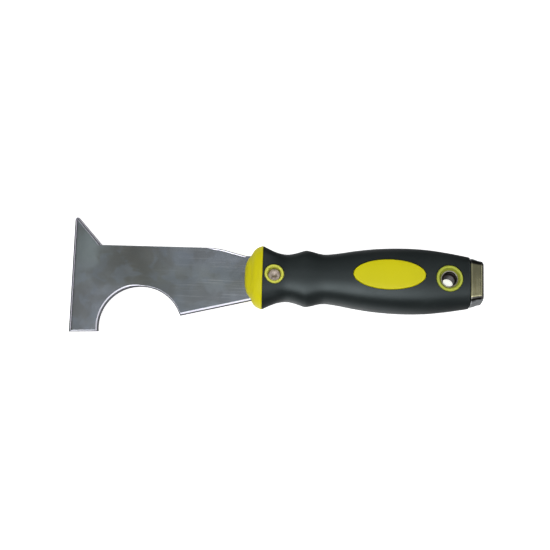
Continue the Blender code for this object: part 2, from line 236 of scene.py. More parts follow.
def surface_height(x, y):
    """How far the grip's outer surface is above the mid-plane."""
    across = min(abs(y) / curve_through(HALF_WIDTHS, x), 0.999)
    return curve_through(HALF_THICKS, x) * (1 - across**SECTION_POWER) ** (1 / SECTION_POWER)


def prism(name, outline, low, high):
    """A helper with a plan outline and a level top and bottom."""
    bm = bmesh.new()
    skin(bm, [[(x, y, z) for x, y in outline] for z in (low, high)])
    return helper(make_object(name, bm))


def oval(centre_x, a, b, count=144, centre_y=0.0):
    turns = [math.tau * k / count for k in range(count)]
    return [(centre_x + a * math.cos(t), centre_y + b * math.sin(t)) for t in turns]


def lathe(name, profile, x, count=72, bored=False):
    """Turns a profile of (radius, height) about the upright line at x. A bored profile is a closed loop."""
    bm = bmesh.new()
    turns = [math.tau * k / count for k in range(count)]
    rings = [[(x + r * math.cos(t), r * math.sin(t), z) for t in turns] if r else [(x, 0, z)]
             for r, z in profile]
    loops = skin(bm, rings, close_ends=False)
    if bored:
        join_ends(bm, loops)
    return make_object(name, bm)


def round_corner(centre, radius, start_degrees, end_degrees, steps=5):
    """Points along an arc, as (r, z) pairs for a profile."""
    points = []
    for k in range(steps + 1):
        angle = math.radians(start_degrees + (end_degrees - start_degrees) * k / steps)
        points.append((centre[0] + radius * math.cos(angle), centre[1] + radius * math.sin(angle)))
    return points


# ---------------------------------------------------------------- material helpers

class Nodes:
    """Short names for building one material's node tree."""

    def __init__(self, name):
        self.material = bpy.data.materials.new(name)
        self.material.use_nodes = True
        self.tree = self.material.node_tree
        self.shader = self.tree.nodes["Principled BSDF"]
        self.coords = self.tree.nodes.new("ShaderNodeTexCoord").outputs["Object"]

    def node(self, kind, **inputs):
        """Adds a node. An input is given by its name, with _ for a space, or by its number, as _0."""
        node = self.tree.nodes.new(kind)
        for key, value in inputs.items():
            self.set(node, key, value)
        return node

    def set(self, node, key, value):
        """Links a socket to one of a node's inputs, or sets the input to a value."""
        socket = node.inputs[int(key[1:]) if key[1:].isdigit() else key.replace("_", " ")]
        if isinstance(value, bpy.types.NodeSocket):
            self.tree.links.new(value, socket)
        else:
            socket.default_value = value

    def stretch(self, x=1.0, y=1.0, z=1.0, turn=0.0):
        """Object coordinates scaled along each axis, turned about Z."""
        mapping = self.node("ShaderNodeMapping", Vector=self.coords, Scale=(x, y, z))
        mapping.inputs["Rotation"].default_value = (0.0, 0.0, math.radians(turn))
        return mapping.outputs["Vector"]

    def noise(self, scale, detail=3.0, roughness=0.5, vector=None, distortion=0.0):
        """Noise of about scale spots to the metre."""
        node = self.node("ShaderNodeTexNoise", Scale=scale, Detail=detail, Roughness=roughness,
                         Distortion=distortion, Vector=vector or self.coords)
        return node.outputs["Fac"]

    def ramp(self, value, low, high, out_low=0.0, out_high=1.0):
        """Maps low..high onto out_low..out_high, smoothly and clamped."""
        node = self.node("ShaderNodeMapRange", Value=value)
        node.interpolation_type = "SMOOTHSTEP"
        for key, number in (("From Min", low), ("From Max", high), ("To Min", out_low), ("To Max", out_high)):
            node.inputs[key].default_value = number
        return node.outputs["Result"]

    def math(self, operation, a, b=0.0, c=0.0):
        node = self.node("ShaderNodeMath", _0=a, _1=b, _2=c)
        node.operation = operation
        return node.outputs["Value"]

    def mix(self, factor, a, b):
        """Mixes two colours."""
        node = self.tree.nodes.new("ShaderNodeMix")
        node.data_type = "RGBA"
        for socket, value in ((node.inputs[0], factor), (node.inputs[6], a), (node.inputs[7], b)):
            if isinstance(value, bpy.types.NodeSocket):
                self.tree.links.new(value, socket)
            elif isinstance(value, tuple):
                socket.default_value = (*value, 1.0)
            else:
                socket.default_value = value
        return node.outputs[2]

    def bump(self, height, strength, distance_mm, normal=None):
        node = self.node("ShaderNodeBump", Strength=strength, Distance=distance_mm * MM, Height=height)
        if normal:
            self.set(node, "Normal", normal)
        return node.outputs["Normal"]

    def along(self, *stops):
        """A colour that changes along X through stops of (millimetres, colour)."""
        low, high = stops[0][0], stops[-1][0]
        ramp = self.node("ShaderNodeValToRGB", Fac=self.linear(self.axis("X"), low * MM, high * MM))
        elements = ramp.color_ramp.elements
        while len(elements) < len(stops):
            elements.new(0.5)
        for element, (x, colour) in zip(elements, stops):
            element.position = (x - low) / (high - low)
            element.color = (*colour, 1.0)
        ramp.color_ramp.interpolation = "B_SPLINE"
        return ramp.outputs["Color"]

    def linear(self, value, low, high):
        """Maps low..high onto 0..1, clamped."""
        node = self.node("ShaderNodeMapRange", Value=value)
        node.inputs["From Min"].default_value, node.inputs["From Max"].default_value = low, high
        return node.outputs["Result"]

    def lines(self, families, along, across, low, high):
        """Fine straight scratches, in families of (direction in degrees, place)."""
        result = None
        for turn, place in families:
            moved = self.node("ShaderNodeMapping", Vector=self.stretch(along, across, 1.0, turn),
                              Location=(place, place, 0))
            lines = self.ramp(self.noise(1.0, 1.0, 0.3, moved.outputs["Vector"]), low, high)
            result = self.math("MAXIMUM", result, lines) if result else lines
        return result

    def axis(self, name):
        """One of the coordinates about the tool's axis, in metres."""
        node = self.node("ShaderNodeSeparateXYZ", Vector=self.coords)
        return self.math("SUBTRACT", node.outputs[name], AXIS["XYZ".index(name)] * MM)


def polished_steel():
    """The blade's faces: polished, in lighter and darker bands along their length and darkest across the
    middle, hazed and finely scratched with use.
    """
    n = Nodes("polished_steel")
    spike_side = n.along((-108, (0.17, 0.19, 0.19)), (-98, (0.38, 0.44, 0.45)), (-86, (0.16, 0.16, 0.15)),
                         (-68, (0.17, 0.18, 0.17)), (-50, (0.31, 0.34, 0.38)), (-16, (0.36, 0.39, 0.44)))
    middle = n.along((-108, (0.17, 0.18, 0.18)), (-97, (0.35, 0.39, 0.42)), (-81, (0.13, 0.135, 0.12)),
                     (-64, (0.23, 0.245, 0.235)), (-42, (0.28, 0.31, 0.33)), (-18, (0.31, 0.34, 0.34)))
    notch_side = n.along((-108, (0.17, 0.18, 0.18)), (-94, (0.34, 0.37, 0.42)), (-74, (0.20, 0.21, 0.22)),
                         (-52, (0.24, 0.27, 0.29)), (-30, (0.35, 0.38, 0.42)))
    across = n.axis("Y")
    colour = n.mix(n.ramp(across, 0.0, 11 * MM), middle, spike_side)
    colour = n.mix(n.ramp(across, -2 * MM, -12 * MM), colour, notch_side)
    cloud = n.noise(85.0, 3.0, 0.5, n.stretch(1.0, 0.8, 1.0, -35.0), 0.6)
    colour = n.mix(n.ramp(cloud, 0.43, 0.61, 0.0, 0.38), colour, (0.185, 0.185, 0.17))
    blue = n.ramp(n.noise(95.0, 2.0, 0.5, n.stretch(1.0, 1.0, 1.0, 50.0), 0.8), 0.49, 0.63, 0.0, 0.28)
    colour = n.mix(blue, colour, (0.28, 0.33, 0.40))
    scratches = n.lines(((4.0, 3.0), (-3.0, 11.0), (-24.0, 17.0), (63.0, 19.0)), 26.0, 1300.0, 0.66, 0.77)
    scratches = n.math("MULTIPLY", scratches, n.ramp(n.axis("X"), -62 * MM, -38 * MM, 0.04, 0.26))
    colour = n.mix(scratches, colour, (0.60, 0.62, 0.66))
    n.set(n.shader, "Base Color", colour)
    rough = n.ramp(n.noise(70.0, 4.0, 0.6), 0.3, 0.75, 0.17, 0.24)
    n.set(n.shader, "Roughness", n.math("MULTIPLY_ADD", scratches, 0.1, rough))
    n.shader.inputs["Metallic"].default_value = 1.0
    streak = n.noise(260.0, 4.0, 0.6, n.stretch(0.07, 1.0, 1.0))
    normal = n.bump(streak, 0.2, 0.015)
    normal = n.bump(cloud, 0.12, 0.12, normal)
    n.set(n.shader, "Normal", n.bump(scratches, -0.3, 0.015, normal))
    return n.material


def painted_highlight_steel():
    """The polished bevels, painted pale lilac-white as a painted highlight so that they read bright from any
    side, with the wheel's fine lines.
    """
    n = Nodes("painted_highlight_steel")
    lines = n.noise(1.0, 3.0, 0.6, n.stretch(900.0, 2600.0, 400.0, 30.0))
    tone = n.noise(60.0, 3.0)
    # Painted highlight: the pale base colour stands in for the bevels' bright reflections.
    n.set(n.shader, "Base Color", n.mix(n.ramp(tone, 0.3, 0.7), (0.66, 0.64, 0.74), (0.80, 0.79, 0.87)))
    n.set(n.shader, "Roughness", n.ramp(lines, 0.3, 0.7, 0.3, 0.42))
    n.shader.inputs["Metallic"].default_value = 0.3
    n.set(n.shader, "Normal", n.bump(lines, 0.15, 0.02))
    return n.material


def painted_dark_edge_steel():
    """The cut sides and outermost chamfers, with the coarse grain the shear and the wheel left, their colour
    painted near black as a painted dark reflection.
    """
    n = Nodes("painted_dark_edge_steel")
    grain = n.noise(1.0, 4.0, 0.6, n.stretch(1400.0, 1400.0, 300.0))
    # Painted dark reflection: the near-black base colour of the edges.
    n.set(n.shader, "Base Color", n.mix(n.ramp(grain, 0.3, 0.7), (0.085, 0.085, 0.095), (0.16, 0.16, 0.175)))
    n.set(n.shader, "Roughness", n.ramp(grain, 0.3, 0.7, 0.38, 0.55))
    n.shader.inputs["Metallic"].default_value = 0.9
    n.set(n.shader, "Normal", n.bump(grain, 0.4, 0.03))
    return n.material


def yellow_plastic():
    """Hard moulded polypropylene: semi-gloss, very slightly mottled, with hairline scuffs, a painted
    highlight over the rivet's ring and a painted shade over the hang ring's end.
    """
    n = Nodes("yellow_plastic")
    mottle = n.noise(55.0, 3.0)
    grime = n.ramp(n.noise(24.0, 5.0, 0.6), 0.5, 0.72)
    colour = n.mix(mottle, (0.63, 0.575, 0.003), (0.69, 0.615, 0.005))
    from_rivet = n.math("ABSOLUTE", n.math("SUBTRACT", n.axis("X"), RIVET_X * MM))
    # Painted highlight: paler, greener yellow painted over the rivet's ring boss.
    colour = n.mix(n.ramp(from_rivet, 5.8 * MM, 5.3 * MM), colour, (0.66, 0.66, 0.09))
    # Painted shade: darker, greener yellow painted from about 80 mm on, over the hang ring.
    colour = n.mix(n.ramp(n.axis("X"), 79 * MM, 81 * MM), colour, (0.46, 0.50, 0.06))
    n.set(n.shader, "Base Color", n.mix(n.math("MULTIPLY", grime, 0.10), colour, (0.30, 0.30, 0.03)))
    scuffs = n.ramp(n.noise(1.0, 2.0, 0.5, n.stretch(60.0, 900.0, 60.0, 15.0)), 0.62, 0.74)
    rough = n.ramp(n.noise(90.0, 4.0), 0.3, 0.7, 0.38, 0.48)
    n.shader.inputs["Specular IOR Level"].default_value = 0.2
    n.set(n.shader, "Roughness", n.math("MULTIPLY_ADD", scuffs, 0.1, rough))
    peel = n.noise(900.0, 2.0)
    n.set(n.shader, "Normal", n.bump(scuffs, -0.15, 0.02, n.bump(peel, 0.12, 0.02)))
    return n.material


def black_rubber():
    """Soft thermoplastic rubber: satin, with a fine moulded grain, a parting line and hints of dust."""
    n = Nodes("black_rubber")
    tone = n.noise(40.0, 4.0, 0.6)
    dust = n.ramp(n.noise(240.0, 6.0, 0.7), 0.56, 0.78)
    colour = n.mix(n.ramp(tone, 0.3, 0.7), (0.0050, 0.0072, 0.0072), (0.0074, 0.0100, 0.0098))
    n.set(n.shader, "Base Color", n.mix(n.math("MULTIPLY", dust, 0.05), colour, (0.10, 0.10, 0.095)))
    n.set(n.shader, "Roughness", n.ramp(n.noise(60.0, 5.0, 0.6), 0.3, 0.7, 0.36, 0.44))
    n.shader.inputs["Specular Tint"].default_value = (0.86, 0.98, 1.0, 1.0)
    grain = n.noise(2600.0, 2.0, 0.5)
    off_centre = n.math("ABSOLUTE", n.axis("Z"))
    parting = n.ramp(off_centre, 0.00008, 0.00028, 1.0, 0.0)
    n.set(n.shader, "Normal", n.bump(parting, 0.6, 0.08, n.bump(grain, 0.24, 0.03)))
    return n.material


def chrome_plate():
    """Chrome with a faint orange peel, a painted olive reflection in stripes on its flats, a painted dark
    reflection along its upper and lower corners, and dings on the face that strikes.
    """
    n = Nodes("chrome_plate")
    off_centre = n.math("ABSOLUTE", n.axis("Z"))
    on_flat = n.ramp(off_centre, 7.30 * MM, 7.39 * MM)
    # Painted reflection: olive stripes painted into the colour of the flat top and bottom.
    bands = n.noise(1.0, 2.0, 0.5, n.stretch(620.0, 40.0, 40.0))
    painted_flat_reflection = n.mix(n.ramp(bands, 0.3, 0.7), (0.60, 0.555, 0.32), (0.74, 0.71, 0.45))
    # Painted dark reflection: a near-black band painted on the rounded corners next to the flats.
    on_corner = n.ramp(off_centre, 6.3 * MM, 6.6 * MM)
    wall = n.mix(on_corner, (0.80, 0.82, 0.84), (0.10, 0.095, 0.085))
    n.set(n.shader, "Base Color", n.mix(on_flat, wall, painted_flat_reflection))
    near_end = n.ramp(n.axis("X"), (REAR_X - 1.2) * MM, (REAR_X - 0.1) * MM)
    dings = n.math("MULTIPLY", n.ramp(n.noise(520.0, 4.0, 0.6), 0.55, 0.7), near_end)
    rough = n.ramp(n.noise(120.0, 4.0), 0.3, 0.7, 0.10, 0.18)
    n.set(n.shader, "Roughness", n.math("MULTIPLY_ADD", dings, 0.3, rough))
    n.shader.inputs["Metallic"].default_value = 1.0
    n.set(n.shader, "Normal", n.bump(dings, -0.5, 0.08, n.bump(n.noise(160.0, 2.0), 0.12, 0.08)))
    return n.material


def nickel_plate(name, dark, light, rough_low, rough_high):
    """Dull nickel, spotted and marked by the press."""
    n = Nodes(name)
    spots = n.noise(900.0, 4.0, 0.65)
    n.set(n.shader, "Base Color", n.mix(n.ramp(spots, 0.35, 0.7), dark, light))
    n.set(n.shader, "Roughness", n.ramp(spots, 0.3, 0.75, rough_low, rough_high))
    n.shader.inputs["Metallic"].default_value = 1.0
    n.set(n.shader, "Normal", n.bump(n.noise(1100.0, 3.0), 0.5, 0.06))
    return n.material


# ---------------------------------------------------------------- blade

def tang_outline(grow=0.0):
    """The neck and the full tang, from inside the blade to the tang's end, anticlockwise."""
    start = -26.0
    lower_slope = (NECK_BOTTOM - NOTCH_HEEL[1]) / (NECK_X - NOTCH_HEEL[0])
    start_y = NOTCH_HEEL[1] + lower_slope * (start - NOTCH_HEEL[0])
    half = TANG_HALF + grow
    tang_x = NECK_X + 4.3
    lower_side = [(start, start_y - grow), (NECK_X, NECK_BOTTOM - grow), (tang_x, -half)]
    upper_side = [(tang_x, half), (NECK_X, NECK_TOP + grow), (start, NECK_TOP + grow)]
    return [*lower_side, (TANG_END_X + grow, -half), (TANG_END_X + grow, half), *upper_side]


def blade_outline():
    """The blade's plan, anticlockwise, as (x, y, how the edge that starts there is worked)."""
    cx, cy = NOTCH_CENTRE
    start = math.atan2(LOBE_HEEL[1] - cy, LOBE_HEEL[0] - cx) % math.tau
    end = math.atan2(NOTCH_HEEL[1] - cy, NOTCH_HEEL[0] - cx)
    points = [(FRONT_X, EDGE_BOTTOM, LOBE_EDGE)]
    notch_steps = 40
    for k in range(notch_steps):
        angle = start + (end - start) * k / notch_steps
        edge = mixed_edge(NOTCH_EDGE, NOTCH_BACK_EDGE, min(max(8 * k / notch_steps - 3.6, 0.0), 1.0))
        points.append((cx + NOTCH_R * math.cos(angle), cy + NOTCH_R * math.sin(angle), edge))
    points.append((*NOTCH_HEEL, HEEL_EDGE))
    points += [(x, y, PLAIN_EDGE) for x, y in tang_outline()[1:-1]]
    points.append((SHOULDER_X[2], NECK_TOP, SHOULDER_EDGE))
    arc_steps = 18
    for k in range(arc_steps + 1):
        u = k / arc_steps
        x = SHOULDER_X[1] + (SHOULDER_X[0] - SHOULDER_X[1]) * u
        y = SPINE_Y - (SPINE_Y - SHOULDER_MID_Y) * (1 - u) ** 2
        points.append((x, y, mixed_edge(SHOULDER_EDGE, SPINE_EDGE, max(0.0, 2 * u - 1))))
    points += [(SPIKE_FOOT_X, SPINE_Y, SPIKE_EDGE), (FRONT_X, SPIKE_POINT_Y, SCRAPING_EDGE)]
    return points


def mixed_edge(a, b, u):
    """Bands part of the way from one way of working an edge to another."""
    return tuple((width_a + (width_b - width_a) * u, rise_a + (rise_b - rise_a) * u, finish)
                 for (width_a, rise_a, finish), (width_b, rise_b, _) in zip(a, b))


def running_totals(bands):
    """How far in, and how far below the face, each ring of a worked edge is."""
    insets, drops = [0.0], [sum(rise for _, rise, _ in bands)]
    for width, rise, _ in bands:
        insets.append(insets[-1] + width)
        drops.append(drops[-1] - rise)
    return insets, drops


def with_run_outs(points):
    """Adds a point near both ends of each long edge, so that its bands keep their widths up to there."""
    result = []
    for k, (x, y, bands) in enumerate(points):
        before, after, later = points[k - 1], points[(k + 1) % len(points)], points[(k + 2) % len(points)]
        length = math.hypot(after[0] - x, after[1] - y)
        result.append((x, y, bands))
        if length < 6.0:
            continue
        direction = ((after[0] - x) / length, (after[1] - y) / length)
        full = [sum(width for width, _, _ in edge) for edge in (before[2], bands, after[2])]
        near = inset_corner(before[:2], (x, y), after[:2], full[0], full[1])
        far = inset_corner((x, y), after[:2], later[:2], full[1], full[2])
        start = max(0.0, (near[0] - x) * direction[0] + (near[1] - y) * direction[1]) + 0.6
        end = max(0.0, (after[0] - far[0]) * direction[0] + (after[1] - far[1]) * direction[1]) + 0.6
        for along in (start, length - end):
            result.append((x + along * direction[0], y + along * direction[1], bands))
    return result


def inset_corner(before, here, after, width_before, width_after):
    """Where the two edges that meet at here cross once each is moved inwards by its own width."""
    normals = []
    for (x0, y0), (x1, y1) in ((before, here), (here, after)):
        length = math.hypot(x1 - x0, y1 - y0)
        normals.append(((y0 - y1) / length, (x1 - x0) / length))
    (ax, ay), (bx, by) = normals
    cross = ax * by - ay * bx
    if abs(cross) < 0.3:
        width = (width_before + width_after) / (1 + ax * bx + ay * by)
        return here[0] + width * (ax + bx) / 2, here[1] + width * (ay + by) / 2
    dx = (width_before * by - width_after * ay) / cross
    dy = (width_after * ax - width_before * bx) / cross
    return here[0] + dx, here[1] + dy


def make_blade(*steels):
    """The plate, with its bands from the upper face down to the land, and the tang's two holes."""
    outline = with_run_outs(blade_outline())
    count = len(outline)
    plan = [(x, y) for x, y, _ in outline]
    half = BLADE_THICK / 2
    rings = [[] for _ in range(7)]
    for k in range(count):
        before, here, after = plan[k - 1], plan[k], plan[(k + 1) % count]
        insets, drops = zip(running_totals(outline[k - 1][2]), running_totals(outline[k][2]))
        rings[0].append((*inset_corner(before, here, after, ARRIS, ARRIS), -half))
        rings[1].append((*here, -half + ARRIS))
        for j in range(5):
            corner = inset_corner(before, here, after, insets[0][j], insets[1][j])
            rings[j + 2].append((*corner, half - (drops[0][j] + drops[1][j]) / 2))
    bm = bmesh.new()
    loops = [[bm.verts.new(point) for point in ring] for ring in rings]
    for j, (a, b) in enumerate(zip(loops, loops[1:])):
        for k in range(count):
            face = bm.faces.new((a[k], a[(k + 1) % count], b[(k + 1) % count], b[k]))
            face.material_index = DARK if j < 2 else outline[k][2][j - 2][2]
    for loop in (loops[0], loops[-1]):
        plan = [Vector(vert.co[:2]) for vert in loop]
        _, _, triangles, sources, _, _ = delaunay_2d_cdt(plan, [], [range(count)], 1, 1e-6)
        for triangle in triangles:
            bm.faces.new([loop[sources[k][0]] for k in triangle])
    blade = make_object("blade_detail", bm)
    for steel in steels:
        blade.data.materials.append(steel)
    past_x, past_y = FRONT_X - 5.0, SPIKE_POINT_Y + 5.0
    past_tip = [(past_x, EDGE_TOP - 5.0), (FRONT_X, EDGE_TOP - 0.9), (FRONT_X + 0.9, EDGE_TOP),
                (FRONT_X + 9.0, EDGE_TOP), (FRONT_X + 9.0, past_y), (past_x, past_y)]
    boolean(blade, "DIFFERENCE", prism("spike_blunting", past_tip, -FAR, FAR))
    for name, x, radius in (("rivet_plain_hole", RIVET_X, RIVET_HOLE_R),
                            ("hang_plain_hole", HANG_X, HANG_HOLE_R)):
        boolean(blade, "DIFFERENCE", prism(name, oval(x, radius, radius, 48), -FAR, FAR))
    finish_piece(blade, "polished_steel", ["blade"], *steels, smooth_angle=10)
    for face in blade.data.polygons:
        face.use_smooth = abs(face.normal.z) < 0.9999


# ---------------------------------------------------------------- handle

def make_grip(rubber):
    """The soft sleeve, with rounded ends and windows for the core's pads and ring bosses."""
    start, end, round_r = JOINT_X + 0.1, GRIP_END_X, 0.7
    step, around = 0.8, 112
    count = round((end - start - round_r) / step)
    stations = [(start + (end - round_r - start) * k / count, 0.0) for k in range(count + 1)]
    for k in range(1, 6):
        angle = math.tau / 4 * k / 5
        stations.append((end - round_r + round_r * math.sin(angle), round_r * (math.cos(angle) - 1)))
    outer = [grip_ring(x, grow, around) for x, grow in stations]
    inner = [grip_ring(x, GAP - GRIP_WALL, around) for x, _ in reversed(stations[::4] + stations[-1:])]
    bm = bmesh.new()
    join_ends(bm, skin(bm, outer + inner, close_ends=False))
    grip = make_object("grip_detail", bm)
    for name, outline in (("pad_window", oval(PAD_X, PAD_A + GAP, PAD_B + GAP, 160, PAD_Y)),
                          ("rivet_window", oval(RIVET_X, RIVET_BOSS_R + GAP, RIVET_BOSS_R + GAP, 96)),
                          ("hang_window", oval(HANG_X, HANG_BOSS_R + GAP, HANG_BOSS_R + GAP, 96))):
        boolean(grip, "DIFFERENCE", prism(name, outline, -FAR, FAR))
    finish_piece(grip, "black_rubber", ["grip_sleeve"], rubber, smooth_angle=40)


def plug(name, centre, a, b, rows, side, count=144):
    """A boss on the grip's surface. Each row is (inset, height, whether the height is above that surface)."""
    bm = bmesh.new()
    rings = []
    for inset, height, follows in rows:
        ring = []
        for k in range(count):
            angle = math.tau * k / count
            x = centre[0] + (a - inset) * math.cos(angle)
            y = centre[1] + (b - inset) * math.sin(angle)
            ring.append((x, y, side * (surface_height(x, y) + height if follows else height)))
        rings.append(ring)
    skin(bm, rings)
    return helper(make_object(name, bm))


def pad_rows():
    """An oval pad with a rounded rim, from its foot inside the core to its middle."""
    radius = 0.55
    rows = [(0.0, 2.0, False), (0.0, PAD_RISE - radius - 0.6, True)]
    for k in range(6):
        angle = math.tau / 4 * k / 5
        rows.append((radius * (1 - math.cos(angle)), PAD_RISE - radius * (1 - math.sin(angle)), True))
    rows += [(inset, PAD_RISE, True) for inset in (1.2, 2.4, 3.8, 5.2, 6.6, 7.8)]
    return rows


def ring_rows(radius, lip, seat_r, seat_z):
    """A ring boss: a rounded raised lip, then a recess that narrows down to the fastener's seat."""
    half_lip = lip / 2
    rows = [(0.0, 2.0, False), (0.0, LIP_RISE - half_lip - 0.8, True)]
    for k in range(9):
        angle = math.tau / 2 * k / 8
        rows.append((half_lip * (1 - math.cos(angle)), LIP_RISE - half_lip * (1 - math.sin(angle)), True))
    rows.append((lip + 0.05, LIP_RISE - lip, True))
    rows.append((radius - seat_r, seat_z, False))
    rows.append((radius - 0.5, seat_z, False))
    return rows


def make_core(yellow):
    """The two shells of the hard core. Their pads, rings and bolster show; the rest is under the grip."""
    dome_rings = []
    for k in range(1, 33):
        size = math.sin(math.tau / 4 * k / 32)
        x = JOINT_X - max(0.45, curve_through(DOME, size))
        if k < 32 and x > JOINT_X - 0.6:
            continue
        dome_rings.append(section_ring(x, HALF_WIDTHS[0][1] * size, HALF_THICKS[0][1] * size, 96))
    rim = 0.45
    for k in range(1, 6):
        angle = math.tau / 4 * k / 5
        shrink = rim * (1 - math.cos(angle))
        x = JOINT_X - rim + rim * math.sin(angle)
        dome_rings.append(section_ring(x, HALF_WIDTHS[0][1] - shrink, HALF_THICKS[0][1] - shrink, 96))
    bm = bmesh.new()
    skin(bm, dome_rings)
    dome = helper(make_object("bolster_dome", bm))

    slot_half = BLADE_THICK / 2 + GAP
    slot = prism("tang_slot", tang_outline(GAP), -slot_half, slot_half)
    pocket_half, pocket_top = LUG_HALF_WIDTH + GAP, LUG_INNER + LUG_THICK + GAP
    pocket_plan = [(HANG_X - pocket_half, -pocket_half), (FAR + GRIP_END_X, -pocket_half),
                   (FAR + GRIP_END_X, pocket_half), (HANG_X - pocket_half, pocket_half)]
    pocket = prism("lug_pocket", pocket_plan, -pocket_top, pocket_top)
    rivet_bore = prism("rivet_bore", oval(RIVET_X, RIVET_HOLE_R, RIVET_HOLE_R, 64), -FAR, FAR)
    hang_bore = prism("hang_bore", oval(HANG_X, HANG_HOLE_R, HANG_HOLE_R, 64), -FAR, FAR)
    other_half_plan = [(-FAR, -FAR), (FAR + GRIP_END_X, -FAR), (FAR + GRIP_END_X, FAR), (-FAR, FAR)]
    for word, side in (("upper", 1), ("lower", -1)):
        count = round((GRIP_END_X - JOINT_X + 3.0) / 3.0)
        stations = [JOINT_X - 3.0 + (GRIP_END_X - JOINT_X + 3.0) * k / count for k in range(count + 1)]
        bm = bmesh.new()
        skin(bm, [grip_ring(x, -GRIP_WALL, 48) for x in stations])
        shell = make_object(f"core_{word}_detail", bm)
        boolean(shell, "UNION", dome)
        boolean(shell, "UNION", plug(f"pad_{word}", (PAD_X, PAD_Y), PAD_A, PAD_B, pad_rows(), side))
        for name, x, radius, rows in (
                ("rivet_ring", RIVET_X, RIVET_BOSS_R,
                 ring_rows(RIVET_BOSS_R, RIVET_LIP, RIVET_HEAD_R + GAP, RIVET_SEAT - GAP)),
                ("hang_ring", HANG_X, HANG_BOSS_R,
                 ring_rows(HANG_BOSS_R, HANG_LIP, HANG_FLANGE_R + GAP, HANG_SEAT - GAP))):
            low, high = sorted((side * (rows[-1][1] + 0.001), side * FAR))
            well = prism(f"{name}_well_{word}", oval(x, radius - 0.4, radius - 0.4, 96), low, high)
            boolean(shell, "DIFFERENCE", well)
            boolean(shell, "UNION", plug(f"{name}_{word}", (x, 0.0), radius, radius, rows, side))
        for cutter in (slot, pocket, rivet_bore, hang_bore):
            boolean(shell, "DIFFERENCE", cutter)
        low, high = sorted((side * GAP / 2, -side * FAR))
        boolean(shell, "DIFFERENCE", prism(f"other_half_of_{word}", other_half_plan, low, high))
        finish_piece(shell, "yellow_plastic", [f"core_shell_{word}"], yellow, smooth_angle=38)


def rounded_rectangle_ring(x, half_width, half_thick, radius, corner_steps=10):
    ring = []
    for quarter in range(4):
        across = 1 if quarter in (0, 3) else -1
        up = 1 if quarter < 2 else -1
        for k in range(corner_steps + 1):
            angle = math.tau / 4 * (quarter + k / corner_steps)
            y = across * (half_width - radius) + radius * math.cos(angle)
            z = up * (half_thick - radius) + radius * math.sin(angle)
            ring.append((x, y, z))
    return ring


def make_cap(chrome):
    """The striking cap: a tapered block with a rounded end, and the lugs that the ferrule pins."""
    widths = [(CAP_X, 12.5), (102.6, 11.8), (104.7, 10.9), (REAR_X, 10.7)]
    radii = [(CAP_X, 4.2), (102.6, 3.8), (104.7, 3.2), (REAR_X, 3.0)]
    end_r, steps = 1.5, 8
    stations = [(CAP_X, -0.25), (CAP_X + 0.08, -0.07), (CAP_X + 0.25, 0.0)]
    stations += [(CAP_X + (REAR_X - end_r - CAP_X) * k / steps, 0.0) for k in range(1, steps + 1)]
    for k in range(1, 8):
        angle = math.tau / 4 * k / 7
        stations.append((REAR_X - end_r + end_r * math.sin(angle), end_r * (math.cos(angle) - 1)))
    bm = bmesh.new()
    rings = []
    for x, grow in stations:
        radius = max(curve_through(radii, x) + grow, 0.6)
        rings.append(rounded_rectangle_ring(x, curve_through(widths, x) + grow, 7.4 + grow, radius))
    skin(bm, rings)
    cap = make_object("cap_detail", bm)
    turns = [math.radians(90 + 180 * k / 24) for k in range(25)]
    plan = [(HANG_X + LUG_HALF_WIDTH * math.cos(t), LUG_HALF_WIDTH * math.sin(t)) for t in turns]
    plan += [(CAP_X + 2.0, -LUG_HALF_WIDTH), (CAP_X + 2.0, LUG_HALF_WIDTH)]
    for name, side in (("upper_lug", 1), ("lower_lug", -1)):
        low, high = sorted((side * LUG_INNER, side * (LUG_INNER + LUG_THICK)))
        boolean(cap, "UNION", prism(name, plan, low, high))
    boolean(cap, "DIFFERENCE", prism("lug_hole", oval(HANG_X, HANG_HOLE_R, HANG_HOLE_R, 48), -FAR, FAR))
    finish_piece(cap, "chromed_steel", ["striking_cap"], chrome, smooth_angle=28)


def make_rivet(nickel):
    """A two-part compression rivet with dimpled, round-edged heads."""
    seat, head, top = RIVET_SEAT, RIVET_HEAD_R, RIVET_SEAT + 1.0
    edge = 0.35
    socket = [(0, top - 0.5), (0.5, top - 0.47), (0.95, top - 0.32), (1.3, top - 0.1), (1.6, top), (2.3, top)]
    socket += round_corner((head - edge, top - edge), edge, 90, 0)
    socket += [(head, seat), (2.3, seat), (2.3, -3.0), (1.7, -3.0), (1.7, 5.3), (0, 5.3)]
    post = [(0, 4.9), (1.2, 4.9), (1.4, 4.7), (1.4, -seat), (head, -seat)]
    post += round_corner((head - edge, -top + edge), edge, 0, -90)
    post += [(1.6, -top - 0.05), (0, -top - 0.1)]
    finish_piece(lathe("rivet_socket_detail", socket, RIVET_X), "nickel_plate", ["rivet_socket"], nickel)
    finish_piece(lathe("rivet_post_detail", post, RIVET_X), "nickel_plate", ["rivet_post"], nickel)


